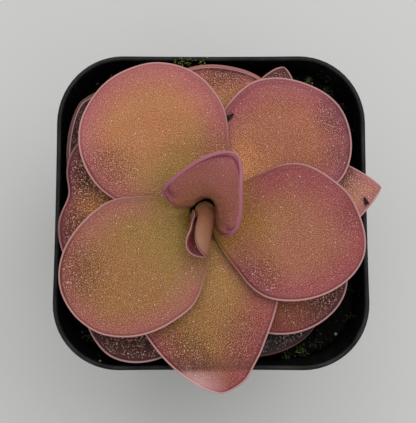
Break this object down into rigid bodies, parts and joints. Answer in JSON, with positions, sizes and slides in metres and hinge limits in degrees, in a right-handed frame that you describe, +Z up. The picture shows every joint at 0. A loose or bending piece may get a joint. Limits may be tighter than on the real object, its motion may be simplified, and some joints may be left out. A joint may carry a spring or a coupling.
{
  "type": "potted butterwort",
  "caption": "Square black nursery pot of dark growing medium with a flat rosette of fleshy pink-green leaves; stands on its base.",
  "frame": {"origin": "centre of the pot's underside, on the surface it stands on", "axes": "+Z up, +X to the right and +Y to the back as the picture shows the plant from above"},
  "size_m": [0.073, 0.0748, 0.084],
  "materials": {
    "pot_plastic": "black, satin with fine scuffs",
    "growing_medium": "moist, near black, granular",
    "crown": "smooth, pale green",
    "leaf_skin": "fleshy, covered with glistening glands",
    "leaf_skin_shaded": "fleshy and darker, with glistening glands"
  },
  "bodies": {
    "root": {"pot": "pot_plastic", "growing_medium": "growing_medium", "crown_and_root": "crown", "leaf_00_rolled": "leaf_skin", "leaf_01_young": "leaf_skin", "leaf_02_front_left": "leaf_skin", "leaf_03_right": "leaf_skin", "leaf_04_back_left": "leaf_skin", "leaf_05_front": "leaf_skin", "leaf_06_back_right": "leaf_skin", "leaf_07_left": "leaf_skin_shaded", "leaf_08_front_right": "leaf_skin_shaded", "leaf_09_back": "leaf_skin_shaded", "leaf_10_front_left_low": "leaf_skin_shaded", "leaf_11_right_low": "leaf_skin_shaded", "leaf_12_back_left_low": "leaf_skin_shaded", "leaf_13_front_right_low": "leaf_skin_shaded", "leaf_14_back_low": "leaf_skin_shaded", "leaf_15_left_low": "leaf_skin_shaded", "leaf_16_right_lowest": "leaf_skin_shaded"}
  },
  "joints": []
}
